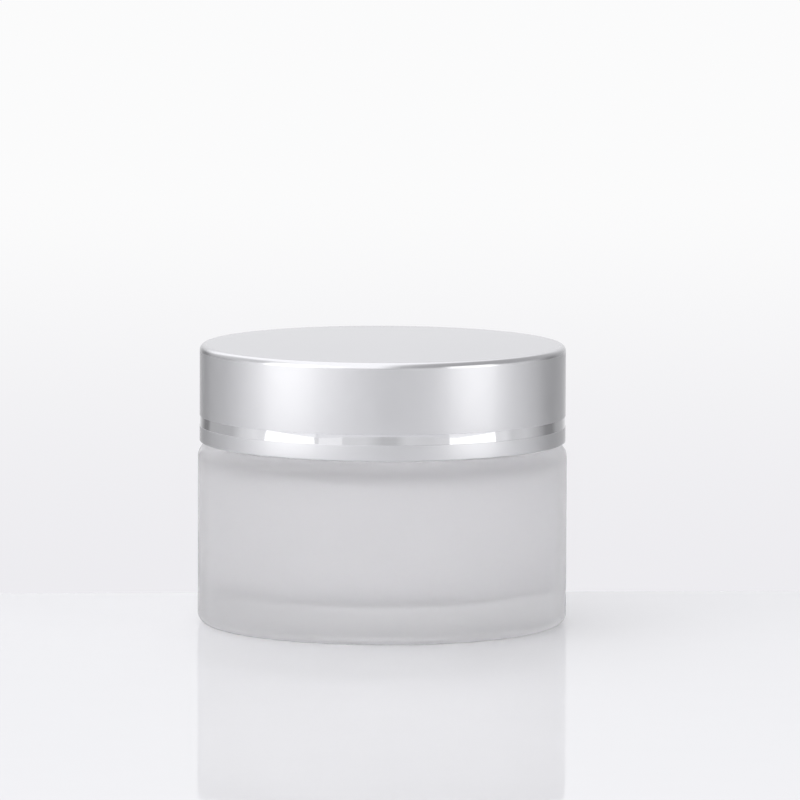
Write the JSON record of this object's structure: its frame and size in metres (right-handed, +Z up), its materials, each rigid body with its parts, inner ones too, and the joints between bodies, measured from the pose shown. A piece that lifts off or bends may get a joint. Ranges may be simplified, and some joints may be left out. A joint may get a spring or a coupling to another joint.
{
  "type": "cosmetic cream jar",
  "caption": "Cylindrical frosted glass cream jar with a satin aluminium screw lid, a round liner and a lift-out disc that seals the mouth.",
  "frame": {"origin": "centre of the jar's foot, in the plane that the jar stands on", "axes": "+Z up along the jar's axis, from the foot to the top of the lid; X and Y are free, because the outside is round"},
  "size_m": [0.062, 0.062, 0.047],
  "materials": {
    "frosted_glass": "colourless glass, acid-frosted outside and inside",
    "disc_plastic": "moulded natural white polypropylene",
    "liner_foam": "matt white expanded polyethylene sheet",
    "cap_plastic": "moulded white polypropylene",
    "anodised_shell": "satin silver anodised, with a bright turned band near the lower edge and a bright upper edge"
  },
  "bodies": {
    "jar": {"glass_jar": "frosted_glass"},
    "disc": {"sealing_disc": "disc_plastic"},
    "lid_liner": {"liner": "liner_foam"},
    "lid": {"inner_cap": "cap_plastic", "outer_shell": "anodised_shell"}
  },
  "joints": [
    {"name": "lid_rise", "type": "slide", "parent": "jar", "child": "lid_liner", "axis": [0, 0, 1], "range_m": [0, 0.032]},
    {"name": "lid_turn", "type": "hinge", "parent": "lid_liner", "child": "lid", "pos_m": [0, 0, 0.03075], "axis": [0, 0, 1], "range_deg": [0, 1440]},
    {"name": "disc_lift", "type": "slide", "parent": "jar", "child": "disc", "axis": [0, 0, 1], "range_m": [0, 0.0107]}
  ],
  "couplings": [
    {"joint": "lid_rise", "follows": "lid_turn", "m_per_rad": 0.0012732},
    {"joint": "disc_lift", "follows": "lid_turn", "m_per_rad": 0.00042441}
  ]
}
